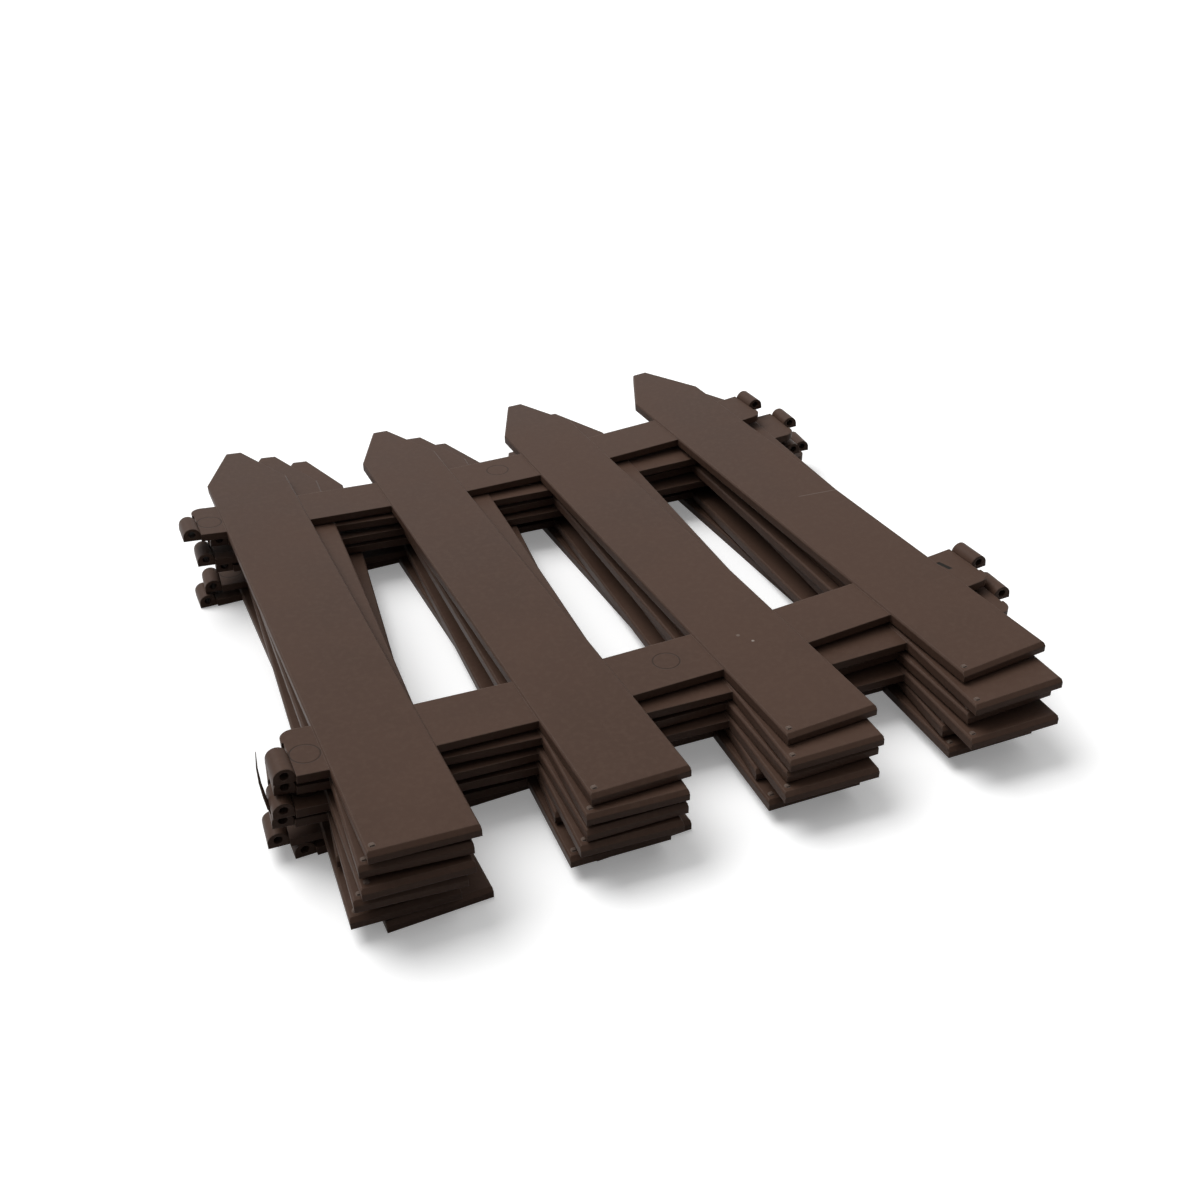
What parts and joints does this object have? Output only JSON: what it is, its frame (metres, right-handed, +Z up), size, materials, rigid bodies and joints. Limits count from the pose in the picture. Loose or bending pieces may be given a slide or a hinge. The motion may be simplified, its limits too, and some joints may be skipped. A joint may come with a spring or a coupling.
{
  "type": "stack of picket fence sections",
  "caption": "Loose, slightly fanned stack of brown moulded plastic picket border-fence sections with two rails and hinge knuckles at the rail ends, lying face up.",
  "frame": {"origin": "middle of the stack's footprint, on the floor", "axes": "+X along the rails of the top section to the right, +Y up its pickets towards the points, +Z up from the floor out of the faces"},
  "size_m": [0.3302, 0.3544, 0.0427],
  "materials": {
    "brown_plastic": "satin moulded polypropylene"
  },
  "bodies": {
    "root": {"section_1": "brown_plastic", "knuckles_1": "brown_plastic", "section_2": "brown_plastic", "knuckles_2": "brown_plastic", "section_3": "brown_plastic", "knuckles_3": "brown_plastic", "section_4": "brown_plastic", "knuckles_4": "brown_plastic", "section_5": "brown_plastic", "knuckles_5": "brown_plastic", "section_6": "brown_plastic", "knuckles_6": "brown_plastic", "section_7": "brown_plastic", "knuckles_7": "brown_plastic"}
  },
  "joints": []
}
